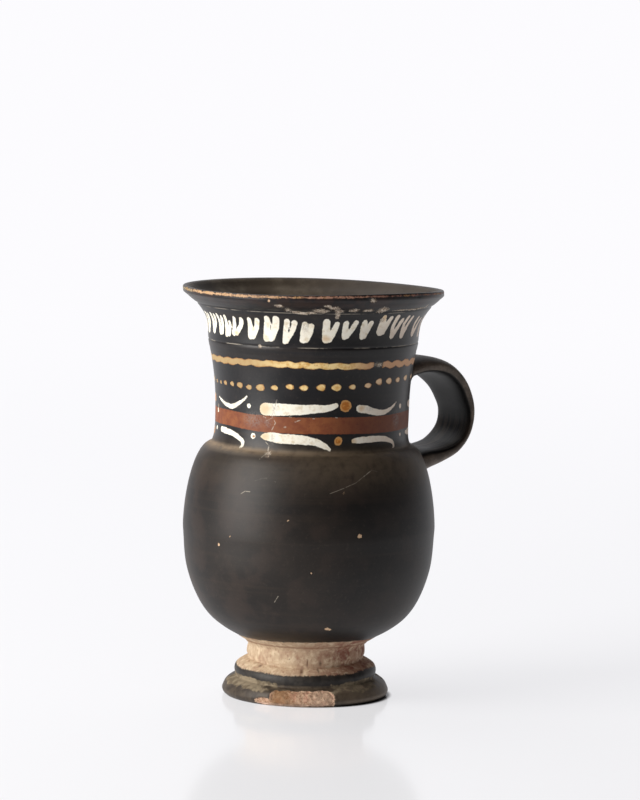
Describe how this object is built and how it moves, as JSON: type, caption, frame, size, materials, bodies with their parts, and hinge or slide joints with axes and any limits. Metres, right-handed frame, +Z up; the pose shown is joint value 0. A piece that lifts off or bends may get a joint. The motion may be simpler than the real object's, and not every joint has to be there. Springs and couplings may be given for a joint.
{
  "type": "olpe",
  "caption": "Small wide-mouthed drinking mug of fired clay with a flaring lip, a globular body on a low stem and stepped ring foot, and one strap handle.",
  "frame": {"origin": "on the surface it stands on, at the middle of the footprint of vessel and handle together; the vessel's own axis is parallel to Z, about 10 mm from the origin towards -X", "axes": "+Z up through the mouth, +X out through the handle, +Y across"},
  "size_m": [0.1076, 0.0876, 0.14],
  "materials": {
    "painted_clay": "satin black slip over buff clay, with white, yellow and red painted bands on the neck, bare clay on the stem, and worn edges"
  },
  "bodies": {
    "root": {"olpe": "painted_clay"}
  },
  "joints": []
}
